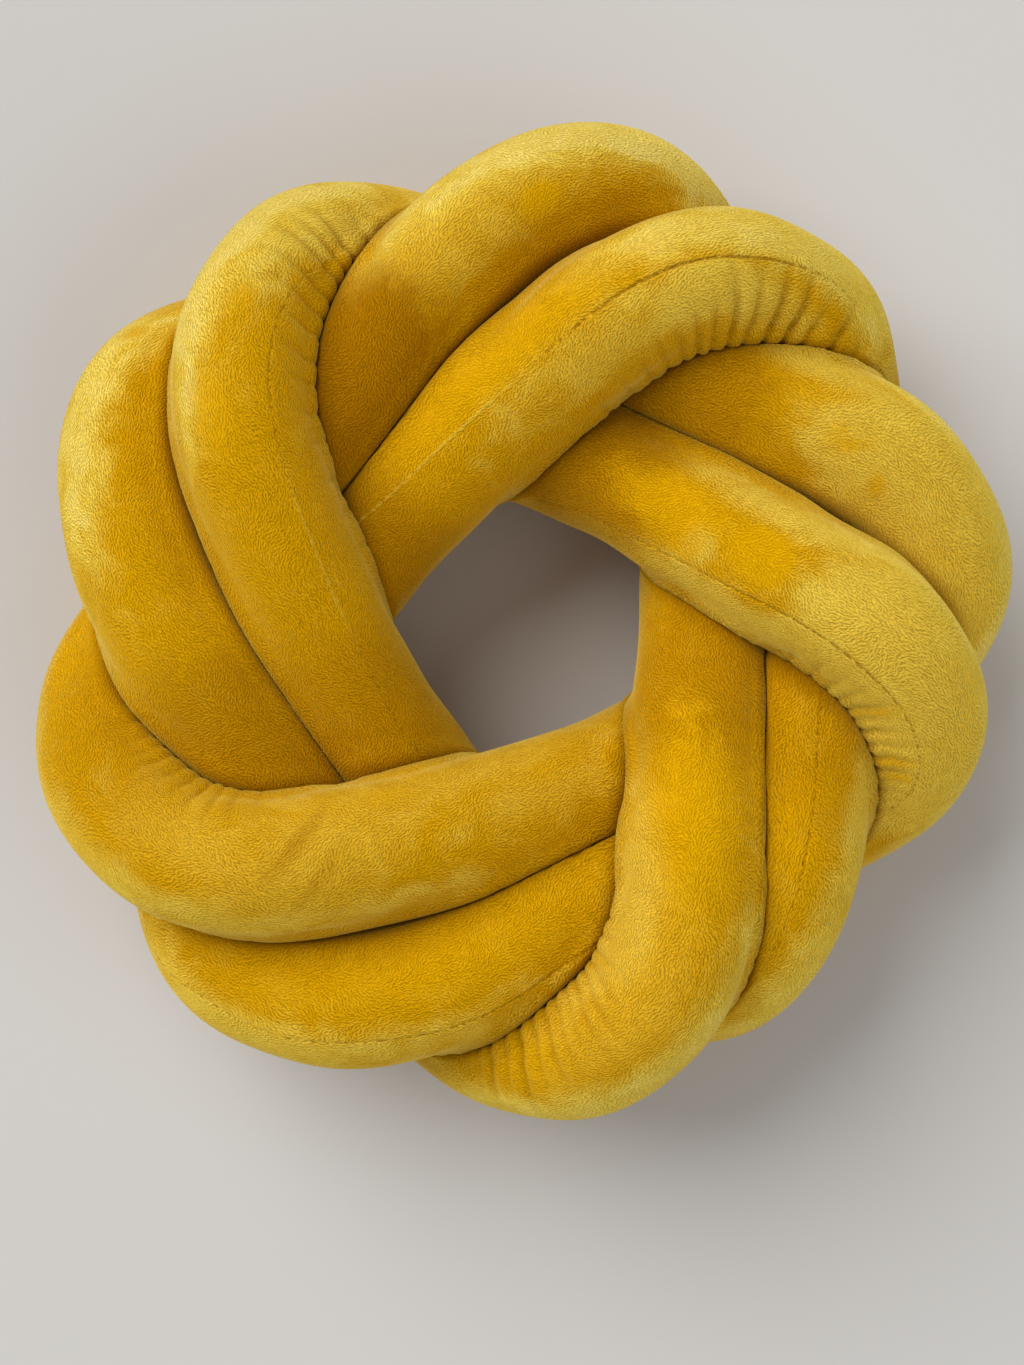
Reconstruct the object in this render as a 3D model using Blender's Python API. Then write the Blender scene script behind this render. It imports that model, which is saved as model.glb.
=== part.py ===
"""Knot cushion: one filled velvet tube, tied as an endless ring of five doubled lobes round an open middle.

The frame is in metres with +Z up. The cushion lies on its back: Z = 0 is the surface that it rests on,
its face looks up, and the origin is below the middle of its outline. The tube passes over the face ten
times. An inner pass runs from the rim to the edge of the hole, an outer pass from the rim to just outside
its neighbour, and after each the tube goes back to the rim underneath. All heights below are measured
from the cushion's mid-plane.
"""

import math
from typing import NamedTuple

import bmesh
import bpy
import numpy as np

# Driving dimensions, in metres.
TUBE_RADIUS = 0.0272
MID_PLANE_HEIGHT = 0.0635
HOLE_MIDDLE = (0.0024, -0.0031)
TURN_GAP = 0.0014

# How the tube is divided up, and how it bends and presses on itself.
RINGS = 296
SIDES = 20
SPAN_STEPS = 60
LINE_SAMPLES = 2400
REACH_SAMPLES = 800
BEND_CROWDING = 0.015
SAME_STRETCH = 0.088
PINCH_SHARE = 0.8
MOST_SWELLING = 1.12
GIRTH_HALVINGS = 30
GIRTH_BLEND_RINGS = 2


class Spot(NamedTuple):
    """A place on the tube's centreline, seen from above: degrees anticlockwise from +X, and metres."""

    angle: float
    radius: float


class Pass(NamedTuple):
    """One run of the tube over the face, from the rim inwards."""

    name: str
    kind: str
    rim: Spot
    shoulder: Spot
    chord: Spot
    waist: Spot


class Return(NamedTuple):
    """A place on the run back to the rim: shares of the way round and out, and the height."""

    angle_share: float
    radius_share: float
    height: float


# The passes, in the order that the tube takes them. Each is named for its lobe, A to E, and its side.
PASSES = (
    #    name          kind     rim               shoulder          chord             waist
    Pass("A_inner", "inner", Spot(120, 0.178), Spot(140, 0.150), Spot(161, 0.104), Spot(208, 0.0745)),
    Pass("C_outer", "outer", Spot(299, 0.162), Spot(315, 0.145), Spot(330, 0.127), Spot(352, 0.115)),
    Pass("E_inner", "inner", Spot(47, 0.171), Spot(65, 0.152), Spot(86, 0.104), Spot(132, 0.073)),
    Pass("B_outer", "outer", Spot(225, 0.182), Spot(243, 0.168), Spot(262, 0.137), Spot(290, 0.108)),
    Pass("D_inner", "inner", Spot(342, 0.163), Spot(356, 0.145), Spot(16, 0.096), Spot(66, 0.073)),
    Pass("A_outer", "outer", Spot(147, 0.1845), Spot(168, 0.163), Spot(190, 0.133), Spot(211, 0.120)),
    Pass("C_inner", "inner", Spot(271, 0.1735), Spot(290, 0.152), Spot(307, 0.109), Spot(354, 0.072)),
    Pass("E_outer", "outer", Spot(77, 0.1835), Spot(97, 0.1605), Spot(115, 0.130), Spot(138, 0.115)),
    Pass("B_inner", "inner", Spot(194, 0.181), Spot(214, 0.162), Spot(236, 0.106), Spot(288, 0.070)),
    Pass("D_outer", "outer", Spot(6, 0.172), Spot(24, 0.1595), Spot(43, 0.131), Spot(64, 0.1195)),
)

# The heights of a pass at its rim, shoulder, chord and waist.
HEIGHTS = {
    "inner": (-0.002, 0.031, 0.027, -0.002),
    "outer": (-0.009, 0.014, 0.013, -0.003),
}

# The way back to the rim underneath, after each kind of pass.
RETURNS = {
    "inner": (Return(0.535, 0.235, -0.032), Return(0.78, 0.68, -0.039)),
    "outer": (Return(0.33, 0.17, -0.020), Return(0.67, 0.60, -0.032)),
}


def place(angle, radius, height):
    """A point from its angle, its radius and its height over the mid-plane."""
    turn = math.radians(angle)
    return (radius * math.cos(turn), radius * math.sin(turn), height)


def stations():
    """The points that the centreline runs through, all the way round the tube."""
    points = []
    for index, run in enumerate(PASSES):
        spots = (run.rim, run.shoulder, run.chord, run.waist)
        points += [place(*spot, height) for spot, height in zip(spots, HEIGHTS[run.kind])]
        next_rim = PASSES[(index + 1) % len(PASSES)].rim
        way_round = (next_rim.angle - run.waist.angle) % 360
        way_out = next_rim.radius - run.waist.radius
        for back in RETURNS[run.kind]:
            angle = run.waist.angle + way_round * back.angle_share
            radius = run.waist.radius + way_out * back.radius_share
            points.append(place(angle, radius, back.height))
    return np.array(points)


def smooth_loop(points, count):
    """A closed cubic spline through the points, as evenly spaced samples, and its length."""
    size = len(points)
    after = np.roll(points, -1, axis=0)
    spans = np.linalg.norm(after - points, axis=1)
    spans_before = np.roll(spans, 1)
    slopes = (after - points) / spans[:, None]
    rows = np.arange(size)
    system = np.zeros((size, size))
    system[rows, rows - 1] = spans_before
    system[rows, rows] = 2 * (spans_before + spans)
    system[rows, (rows + 1) % size] = spans
    bends = np.linalg.solve(system, 6 * (slopes - np.roll(slopes, 1, axis=0)))
    bends_after = np.roll(bends, -1, axis=0)
    steps = np.linspace(0, 1, SPAN_STEPS, endpoint=False)[:, None, None]
    left = (1 - steps) * spans[:, None]
    right = steps * spans[:, None]
    width = spans[:, None]
    curve = (
        (bends * left**3 + bends_after * right**3) / (6 * width)
        + (points / width - bends * width / 6) * left
        + (after / width - bends_after * width / 6) * right
    )
    curve = curve.transpose(1, 0, 2).reshape(-1, 3)
    closed = np.vstack([curve, curve[:1]])
    along = np.concatenate([[0], np.cumsum(np.linalg.norm(np.diff(closed, axis=0), axis=1))])
    wanted = np.linspace(0, along[-1], count, endpoint=False)
    evened = [np.interp(wanted, along, closed[:, axis]) for axis in range(3)]
    return np.stack(evened, axis=1), along[-1]


def frames_along(line, length):
    """For each sample, the way forward, the side, the upward way square to both, and the bend."""
    forward = np.roll(line, -1, axis=0) - np.roll(line, 1, axis=0)
    forward /= np.linalg.norm(forward, axis=1)[:, None]
    side = np.cross(forward, (0, 0, 1))
    side /= np.linalg.norm(side, axis=1)[:, None]
    upward = np.cross(side, forward)
    step = length / len(line)
    bend = (np.roll(forward, -1, axis=0) - np.roll(forward, 1, axis=0)) / (2 * step)
    return side, upward, bend


def ring_samples(bend):
    """Which samples carry a ring of the mesh: evenly spread, but closer together in the bends."""
    crowding = np.cumsum(1 + BEND_CROWDING * np.linalg.norm(bend, axis=1))
    return np.searchsorted(crowding, crowding[-1] * np.arange(RINGS) / RINGS)


def reach_of_sections(line, length, rings, outward, bends):
    """How far the cloth can reach along each outward way before it meets another turn or the surface.

    Halfway between two turns lies the face where they press on each other, and each keeps to its side
    of it. On the inside of a bend the cloth stops short of the bend's own centre.
    """
    reach = np.full(outward.shape[:2], np.inf)
    spacing = length / len(line)
    centres = line[rings]
    coarse = np.arange(0, len(line), len(line) // REACH_SAMPLES)
    for index, (ring, centre) in enumerate(zip(rings, centres)):
        apart = np.abs(coarse - ring)
        apart = np.minimum(apart, len(line) - apart) * spacing
        others = line[coarse[apart > SAME_STRETCH]] - centre
        towards = outward[index] @ others.T + TURN_GAP
        squared = (others**2).sum(axis=1) - TURN_GAP**2
        limits = np.where(towards > 0, squared / (2 * np.maximum(towards, 1e-9)), np.inf)
        reach[index] = limits.min(axis=1)
    inside = np.einsum("rsx,rx->rs", outward, bends)
    reach = np.minimum(reach, PINCH_SHARE / np.maximum(inside, 1e-6))
    down = np.maximum(-outward[:, :, 2], 1e-6)
    above = centres[:, 2] + MID_PLANE_HEIGHT
    return np.minimum(reach, above[:, None] / down)


def girth(radii):
    """The length round each section, from its radii at even angles."""
    turn = np.arange(radii.shape[1]) * 2 * math.pi / radii.shape[1]
    corners = np.stack([radii * np.cos(turn), radii * np.sin(turn)], axis=2)
    return np.linalg.norm(np.roll(corners, -1, axis=1) - corners, axis=2).sum(axis=1)


def pressed_radii(reach):
    """The radii of each section. The cloth's girth is the same all along, so it swells where it is free."""
    wanted = girth(np.full((1, reach.shape[1]), TUBE_RADIUS))[0]
    low = np.full(len(reach), TUBE_RADIUS)
    high = low * MOST_SWELLING
    for _ in range(GIRTH_HALVINGS):
        middle = (low + high) / 2
        short = girth(np.minimum(reach, middle[:, None])) < wanted
        low = np.where(short, middle, low)
        high = np.where(short, high, middle)
    shifts = range(-GIRTH_BLEND_RINGS, GIRTH_BLEND_RINGS + 1)
    swelling = np.mean([np.roll(low, shift) for shift in shifts], axis=0)
    return np.minimum(reach, swelling[:, None])


def tube_points():
    """The tube's surface as an array of rings, sides and coordinates."""
    line, length = smooth_loop(stations(), LINE_SAMPLES)
    side, upward, bend = frames_along(line, length)
    rings = ring_samples(bend)
    turn = np.arange(SIDES) * 2 * math.pi / SIDES
    outward = side[rings, None] * np.cos(turn)[:, None] + upward[rings, None] * np.sin(turn)[:, None]
    radii = pressed_radii(reach_of_sections(line, length, rings, outward, bend[rings]))
    points = line[rings, None] + outward * radii[:, :, None]
    return points + np.array([*HOLE_MIDDLE, MID_PLANE_HEIGHT])


def tube_mesh(name):
    """A grid wrapped round the tube and closed on itself both ways."""
    points = tube_points()
    shape = bmesh.new()
    bmesh.ops.create_grid(shape, x_segments=SIDES, y_segments=RINGS, size=1)
    shape.verts.ensure_lookup_table()
    for index, vertex in enumerate(shape.verts):
        ring, corner = divmod(index, SIDES + 1)
        vertex.co = points[ring % RINGS, corner % SIDES]
    bmesh.ops.remove_doubles(shape, verts=shape.verts, dist=1e-6)
    bmesh.ops.recalc_face_normals(shape, faces=shape.faces)
    mesh = bpy.data.meshes.new(name)
    shape.to_mesh(mesh)
    shape.free()
    mesh.shade_smooth()
    return mesh


def velvet():
    """Golden mustard velvet."""
    material = bpy.data.materials.new("mustard_velvet")
    material.use_nodes = True
    shader = material.node_tree.nodes["Principled BSDF"]
    shader.inputs["Base Color"].default_value = (0.60, 0.33, 0.01, 1)
    shader.inputs["Roughness"].default_value = 0.9
    shader.inputs["Metallic"].default_value = 0
    return material


def clear_scene():
    """Removes every object that the scene starts with."""
    for item in list(bpy.data.objects):
        bpy.data.objects.remove(item, do_unlink=True)


def main():
    """Builds the cushion."""
    clear_scene()
    cushion = bpy.data.objects.new("knot_tube", tube_mesh("knot_tube"))
    cushion.data.materials.append(velvet())
    bpy.context.scene.collection.objects.link(cushion)


main()
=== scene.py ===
"""The looks of the knot cushion: one stuffed velvet tube, tied as an endless ring of five doubled lobes.

Sizes are in metres, or in millimetres where that is said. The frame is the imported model's: +Z up, out of
the cushion's face, and Z = 0 is the surface that it rests on. The tube passes over the face ten times. A
place on its cloth is given by how far it lies along the tube past the rim of its pass, and by its section
angle: 0 degrees is the side away from the hole, 90 the top, 180 the side towards the hole and 270 the
underside.
"""

import logging
import math
from dataclasses import dataclass
from enum import Enum
from typing import Any, NamedTuple

import bmesh
import bpy
import numpy as np
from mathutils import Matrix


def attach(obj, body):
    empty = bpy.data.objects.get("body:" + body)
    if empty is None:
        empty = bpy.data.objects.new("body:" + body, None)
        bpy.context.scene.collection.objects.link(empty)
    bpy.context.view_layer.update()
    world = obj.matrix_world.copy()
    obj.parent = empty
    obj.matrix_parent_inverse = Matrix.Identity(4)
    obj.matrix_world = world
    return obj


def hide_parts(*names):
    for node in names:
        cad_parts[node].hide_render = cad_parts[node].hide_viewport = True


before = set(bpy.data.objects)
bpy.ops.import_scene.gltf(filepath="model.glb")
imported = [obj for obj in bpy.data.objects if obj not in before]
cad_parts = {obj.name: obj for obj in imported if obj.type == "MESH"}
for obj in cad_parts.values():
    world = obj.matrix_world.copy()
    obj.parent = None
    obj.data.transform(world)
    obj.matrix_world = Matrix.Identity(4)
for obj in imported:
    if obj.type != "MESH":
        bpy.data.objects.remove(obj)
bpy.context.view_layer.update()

logger = logging.getLogger("knot_cushion")

MILLIMETRE = 0.001
FULL_TURN = 360.0
# A length past the whole cushion, and one too short to matter.
FAR = 1.0
TINY = 1e-6

Pair = tuple[float, float]
Colour = tuple[float, float, float, float]


class Side(Enum):
    """Which of its lobe's two passes a run of the tube is."""

    INNER = "inner"
    OUTER = "outer"


class Spot(NamedTuple):
    """A place on the centreline, seen from above: degrees anticlockwise from +X, and metres."""

    angle: float
    radius: float


class Pass(NamedTuple):
    """One run of the tube over the face, from the rim inwards."""

    name: str
    side: Side
    rim: Spot
    shoulder: Spot
    chord: Spot
    waist: Spot


class Return(NamedTuple):
    """A place on the run back to the rim: shares of the way round and out, and the height."""

    angle_share: float
    radius_share: float
    height: float


class SeamSpot(NamedTuple):
    """A place that the sewn seam runs through: millimetres past the rim, and the section angle.

    Its tone is 1 where the seam is a dark groove, 0 where it hardly shows and -1 where it is a pale ridge.
    """

    run: str
    past_rim: float
    angle: float
    tone: float


class Fold(NamedTuple):
    """A crease across the tube's concave side.

    It lies so many millimetres past the rim, fades out at a section angle on the crown, and is so many
    millimetres deep. Its crown end lies so many millimetres further along than its deep end.
    """

    run: str
    past_rim: float
    fades_at: float
    depth: float
    lean: float


class TonePatch(NamedTuple):
    """An oval patch of another tone: brushed pile, partly painted sheen when pale, painted shade when deep.

    Its middle is given in millimetres past the rim and as a section angle, and its half sizes in
    millimetres along the tube and degrees round it. It is turned by so many degrees on the cloth, and
    its border is so many millimetres wide. Strength is how much its colour shows, from 0 to 1.
    """

    run: str
    past_rim: float
    angle: float
    half_length: float
    half_width: float
    turned: float
    border: float
    strength: float


# The passes, in the order that the tube takes them. Each is named for its lobe, A to E, and its side.
PASSES = (
    #    name          side        rim               shoulder          chord             waist
    Pass("A_inner", Side.INNER, Spot(120, 0.178), Spot(140, 0.150), Spot(161, 0.104), Spot(208, 0.0745)),
    Pass("C_outer", Side.OUTER, Spot(299, 0.162), Spot(315, 0.145), Spot(330, 0.127), Spot(352, 0.115)),
    Pass("E_inner", Side.INNER, Spot(47, 0.171), Spot(65, 0.152), Spot(86, 0.104), Spot(132, 0.073)),
    Pass("B_outer", Side.OUTER, Spot(225, 0.182), Spot(243, 0.168), Spot(262, 0.137), Spot(290, 0.108)),
    Pass("D_inner", Side.INNER, Spot(342, 0.163), Spot(356, 0.145), Spot(16, 0.096), Spot(66, 0.073)),
    Pass("A_outer", Side.OUTER, Spot(147, 0.1845), Spot(168, 0.163), Spot(190, 0.133), Spot(211, 0.120)),
    Pass("C_inner", Side.INNER, Spot(271, 0.1735), Spot(290, 0.152), Spot(307, 0.109), Spot(354, 0.072)),
    Pass("E_outer", Side.OUTER, Spot(77, 0.1835), Spot(97, 0.1605), Spot(115, 0.130), Spot(138, 0.115)),
    Pass("B_inner", Side.INNER, Spot(194, 0.181), Spot(214, 0.162), Spot(236, 0.106), Spot(288, 0.070)),
    Pass("D_outer", Side.OUTER, Spot(6, 0.172), Spot(24, 0.1595), Spot(43, 0.131), Spot(64, 0.1195)),
)

# The heights of a pass over the mid-plane, at its rim, shoulder, chord and waist.
HEIGHTS = {
    Side.INNER: (-0.002, 0.031, 0.027, -0.002),
    Side.OUTER: (-0.009, 0.014, 0.013, -0.003),
}

# The way back to the rim underneath, after each kind of pass.
RETURNS = {
    Side.INNER: (Return(0.535, 0.235, -0.032), Return(0.78, 0.68, -0.039)),
    Side.OUTER: (Return(0.33, 0.17, -0.020), Return(0.67, 0.60, -0.032)),
}

# Where the sewn seam runs: along the crown on five of the passes, and underneath on the rest.
SEAM = {
    # past rim, angle, tone
    "A_inner": (
        (-12, 118, 0.0),
        (20, 122, 0.1),
        (50, 122, 0.4),
        (67, 121, 0.4),
        (105, 120, 0.3),
        (125, 117, -0.3),
        (165, 115, -0.35),
        (217, 111, 0.4),
        (240, 108, 0.4),
    ),
    "C_outer": (
        (35, 84, 0.3),
        (62, 87, 0.45),
        (113, 87, 0.4),
    ),
    "E_inner": (
        (-12, 66, 0.2),
        (6, 67, 0.2),
        (24, 74, 0.4),
        (38, 81, 0.7),
        (56, 86, 1.0),
        (96, 85, 0.85),
        (122, 86, 0.35),
        (141, 87, -0.2),
        (165, 86, -0.5),
        (198, 84, -0.3),
    ),
    "B_outer": (
        (-8, 33, 0.1),
        (18, 57, 0.4),
        (62, 60, 0.4),
        (112, 55, 0.5),
        (150, 56, 0.5),
    ),
    "D_inner": (
        (-6, 83, 0.3),
        (6, 89, 0.5),
        (21, 101, 0.3),
        (42, 117, 0.5),
        (60, 128, 0.8),
        (110, 127, 0.7),
        (133, 132, 0.5),
        (155, 138, 0.4),
        (203, 147, 0.4),
    ),
    "A_outer": ((0, 215, 0.4), (180, 225, 0.4)),
    "C_inner": ((0, 240, 0.4), (200, 250, 0.4)),
    "E_outer": ((0, 255, 0.4), (180, 260, 0.4)),
    "B_inner": ((0, 250, 0.4), (200, 240, 0.4)),
    "D_outer": ((0, 225, 0.4), (180, 190, 0.4)),
}

# The creases that show on the face, where the tube turns over the rim and gathers on its concave side.
FOLDS = {
    # past rim, fades at, depth, lean
    "A_inner": (
        (-17, 60, 0.7, 3),
        (-8, 54, 1.1, 3),
        (4.5, 42, 1.9, 3),
        (13, 46, 1.5, 2),
        (20.5, 42, 1.7, 1),
        (31, 54, 1.4, 0),
        (41, 84, 1.1, -1),
        (52, 96, 0.9, -2),
        (66, 112, 0.8, -2),
        (78, 124, 0.6, -1),
        (93, 126, 0.7, -2),
        (107, 134, 0.6, -2),
        (124, 132, 0.7, -2),
        (139, 142, 0.6, -2),
        (155, 144, 0.5, -1),
    ),
    "E_inner": (
        (-4, 60, 0.9, 2),
        (8, 46, 1.9, 1),
        (21, 66, 1.3, 0),
        (29.5, 60, 2.2, 1),
        (38.5, 62, 2.1, 3),
        (49.5, 72, 1.5, 1),
        (58, 72, 1.8, 3),
        (67.5, 94, 1.2, 1),
        (75.5, 100, 1.3, 1),
        (84, 112, 1.0, 1),
        (92.5, 114, 1.0, 2),
        (102, 122, 0.8, 1),
        (113, 128, 0.8, 1),
        (126, 134, 0.7, 0),
    ),
    "D_inner": (
        (-10, 54, 1.0, 1),
        (3, 76, 0.9, 0),
        (9, 88, 0.7, 0),
        (15, 80, 1.3, 0),
        (22.5, 84, 1.1, -1),
        (29, 96, 0.8, 0),
        (36, 102, 1.1, 1),
        (43, 118, 0.6, 0),
        (50, 108, 1.0, 0),
        (58, 122, 0.7, 2),
        (67, 128, 0.7, 2),
        (77, 132, 0.8, 3),
        (90, 138, 0.6, 2),
    ),
    "C_inner": (
        (-9, 34, 1.0, 1),
        (-2.5, 26, 1.7, -1),
        (4.5, 38, 1.2, 0),
        (12.5, 28, 1.9, -2),
        (20, 48, 1.2, 0),
        (27.5, 40, 1.6, 0),
        (34, 62, 1.1, 1),
        (40.5, 70, 1.0, 1),
        (47, 62, 1.3, 0),
        (54, 74, 1.2, 0),
        (62, 100, 0.9, 0),
        (71, 116, 0.8, 1),
        (81, 128, 0.7, 1),
        (91, 144, 0.7, 1),
    ),
    "B_inner": (
        (6, 104, 0.4, 0),
        (15, 100, 0.6, 2),
        (25, 112, 0.5, 1),
        (33, 118, 0.5, 1),
        (41, 108, 0.7, 0),
        (51, 124, 0.5, 0),
        (60, 124, 0.6, 1),
        (70, 120, 0.9, 1),
        (80, 110, 0.7, 2),
        (90, 118, 0.5, 2),
        (102, 130, 0.5, 1),
    ),
    "C_outer": (
        (-8, 84, 1.1, 0),
        (3, 92, 1.3, 0),
        (13, 98, 1.0, 0),
        (24, 106, 0.9, 0),
    ),
}

# Patches that show pale: in part pile brushed back, in part painted sheen on sides that face the light.
PALE_PATCHES = {
    # past rim, angle, half length, half width, turned, border, strength
    "A_inner": (
        (30, 42, 62, 32, 0, 11, 1.0),
        (14, 82, 40, 34, 0, 13, 0.75),
    ),
    "C_outer": (
        (32, 40, 36, 28, 0, 10, 0.75),
        (82, 38, 34, 16, 0, 7, 0.7),
    ),
    "E_inner": (
        (38, 50, 62, 34, 0, 8, 0.85),
        (68, 112, 36, 27, -4, 10, 0.65),
        (112, 112, 36, 24, -4, 16, 0.35),
    ),
    "B_outer": ((42, 47, 62, 20, 0, 11, 0.6),),
    "D_inner": (
        (36, 100, 66, 88, 0, 9, 0.66),
        (36, 24, 62, 30, 0, 9, 0.9),
        (112, 48, 44, 17, 5, 8, 0.65),
        (112, 156, 50, 21, -4, 7, 0.65),
        (138, 112, 6, 15, 20, 4, 0.7),
    ),
    "A_outer": ((30, 52, 50, 30, 0, 12, 0.9),),
    "C_inner": (
        (92, 146, 52, 30, 0, 12, 0.5),
        (60, 104, 38, 36, 0, 14, 0.15),
        (40, 38, 60, 26, 0, 9, 0.85),
    ),
    "E_outer": (
        (24, 46, 92, 34, 0, 11, 1.0),
        (84, 80, 44, 30, 0, 15, 0.3),
    ),
    "B_inner": (
        (122, 94, 38, 44, 20, 12, 0.24),
        (80, 106, 32, 30, 0, 12, 0.2),
        (178, 140, 62, 19, 0, 12, 0.22),
        (206, 106, 24, 24, 0, 12, 0.18),
        (94, 42, 54, 16, 0, 12, 0.6),
    ),
    "D_outer": (
        (34, 96, 66, 78, 0, 8, 0.58),
        (22, 22, 62, 44, 0, 8, 1.0),
        (98, 46, 40, 14, 0, 6, 0.5),
    ),
}

# Patches where it lies the other way and shows a deep gold.
GOLDEN_PATCHES = {
    # past rim, angle, half length, half width, turned, border, strength
    "A_inner": (
        (54, 87, 7, 11, 0, 4, 0.7),
        (90, 68, 13, 14, 0, 6, 0.7),
    ),
    "E_inner": ((147, 62, 48, 20, 0, 9, 0.9),),
    "D_inner": (
        (116, 92, 13, 24, -24, 4, 0.95),
        (143, 120, 5, 10, 30, 3, 0.7),
        (158, 95, 22, 26, 0, 9, 0.8),
        (20, 122, 2.5, 13, 0, 3, 0.8),
        (12, 110, 2, 10, 0, 3, 0.8),
        (47, 147, 2, 17, 0, 3, 0.8),
    ),
    "A_outer": ((-1, 52, 3, 8, 0, 4, 0.8),),
    "E_outer": ((52, 101, 9, 14, 10, 4, 1.0),),
    "B_outer": ((92, 122, 44, 26, 0, 14, 0.45),),
    "B_inner": (
        (155, 140, 10, 10, 0, 5, 0.7),
        (215, 122, 6, 8, 0, 4, 0.7),
    ),
    "C_inner": (
        (8, 100, 22, 26, 0, 8, 0.5),
        (136, 100, 32, 30, 10, 14, 0.9),
    ),
    "D_outer": (
        (66, 122, 3, 10, 25, 3, 0.8),
        (83, 104, 7, 5, 35, 3, 0.8),
        (88, 98, 3, 9, -20, 3, 0.6),
        (95, 72, 11, 7, 30, 4, 0.6),
    ),
}

# Painted shade: patches of dark gold, mostly where a pass dives inwards.
PAINTED_SHADE_PATCHES = {
    # past rim, angle, half length, half width, turned, border, strength
    "A_inner": ((212, 90, 34, 80, 0, 16, 0.4),),
    "C_outer": ((114, 90, 34, 60, 0, 16, 0.4),),
    "E_inner": ((238, 120, 36, 80, 0, 18, 0.55),),
    "D_inner": ((190, 100, 34, 80, 0, 14, 0.75),),
    "A_outer": ((166, 90, 40, 80, 0, 18, 0.5),),
    "C_inner": ((188, 100, 36, 70, 0, 18, 0.6),),
    "E_outer": ((144, 90, 40, 80, 0, 18, 1.0),),
    "B_inner": (
        (16, 100, 40, 46, 0, 16, 0.35),
        (117, 111, 18, 6, 48, 2.5, 0.42),
        (124, 80, 13, 5, 52, 2.5, 0.4),
    ),
    "D_outer": ((150, 100, 38, 80, 0, 16, 0.65),),
}

PATCHES = {"pale": PALE_PATCHES, "golden": GOLDEN_PATCHES, "deep": PAINTED_SHADE_PATCHES}


def entries(kind: type, table: dict[str, tuple]) -> list:
    """Makes an entry of a kind from each row of a table, which groups its rows by pass."""
    return [kind(run, *row) for run, rows in table.items() for row in rows]


def piece_of(shape: bmesh.types.BMesh, name: str) -> bpy.types.Object:
    """Makes a worked shape a piece of the scene.

    Args:
        shape: The shape, which is used up.
        name: What the piece is called.

    Returns:
        The piece.
    """
    mesh = bpy.data.meshes.new(name)
    shape.to_mesh(mesh)
    shape.free()
    piece = bpy.data.objects.new(name, mesh)
    bpy.context.scene.collection.objects.link(piece)
    return piece


def smooth_step(values: np.ndarray) -> np.ndarray:
    """Eases numbers from 0 to 1, after they are cut to that stretch."""
    cut = np.clip(values, 0, 1)
    return cut * cut * (3 - 2 * cut)


def angle_between(angles: np.ndarray, other: np.ndarray | float) -> np.ndarray:
    """How many degrees angles lie past another, the short way round: from -180 to 180."""
    half_turn = FULL_TURN / 2
    return (angles - other + half_turn) % FULL_TURN - half_turn


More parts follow.
